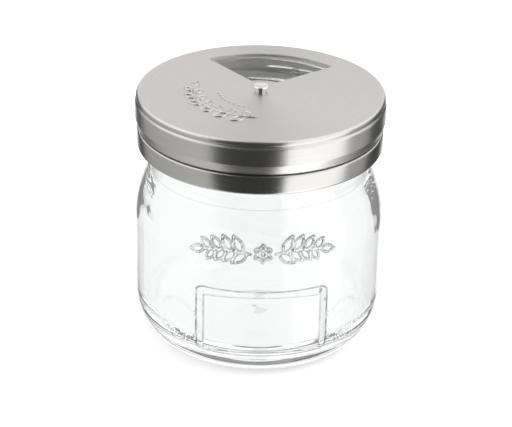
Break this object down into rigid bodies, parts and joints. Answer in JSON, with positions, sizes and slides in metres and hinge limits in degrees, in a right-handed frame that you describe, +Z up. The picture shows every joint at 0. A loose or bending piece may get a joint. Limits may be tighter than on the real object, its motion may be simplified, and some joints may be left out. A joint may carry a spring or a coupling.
{
  "type": "shaker jar",
  "caption": "Squat glass jar with a raised label pad and a stainless screw lid whose outer cap turns on a rivet to open, sift or close.",
  "frame": {"origin": "middle of the jar's foot, on the surface it stands on", "axes": "+Z up along the jar's axis, the label pad faces -Y"},
  "size_m": [0.0862, 0.0866, 0.0923],
  "materials": {
    "clear_glass": "pressed clear soda-lime glass, fire polished",
    "plain_steel": "pressed stainless sheet, satin",
    "brushed_steel": "circular brushed stainless sheet",
    "rivet_steel": "turned and polished stainless",
    "washer_steel": "plain stainless",
    "seal_rubber": "smooth milky silicone"
  },
  "bodies": {
    "jar": {"glass_jar": "clear_glass"},
    "seal": {"seal_ring": "seal_rubber"},
    "screw_lid": {"screw_cap": "plain_steel", "pivot_rivet": "rivet_steel", "spring_washer": "washer_steel", "backing_washer": "washer_steel"},
    "shaker_top": {"rotating_cap": "brushed_steel"}
  },
  "joints": [
    {"name": "lid_rise", "type": "slide", "parent": "jar", "child": "seal", "axis": [0, 0, 1], "range_m": [0, 0.02]},
    {"name": "lid_turn", "type": "hinge", "parent": "seal", "child": "screw_lid", "pos_m": [0, 0, 0.08], "axis": [0, 0, 1], "range_deg": [0, 1440]},
    {"name": "shaker_turn", "type": "hinge", "parent": "screw_lid", "child": "shaker_top", "pos_m": [0, 0, 0.09], "axis": [0, 0, 1], "continuous": true}
  ],
  "couplings": [
    {"joint": "lid_rise", "follows": "lid_turn", "m_per_rad": 0.00079577}
  ]
}
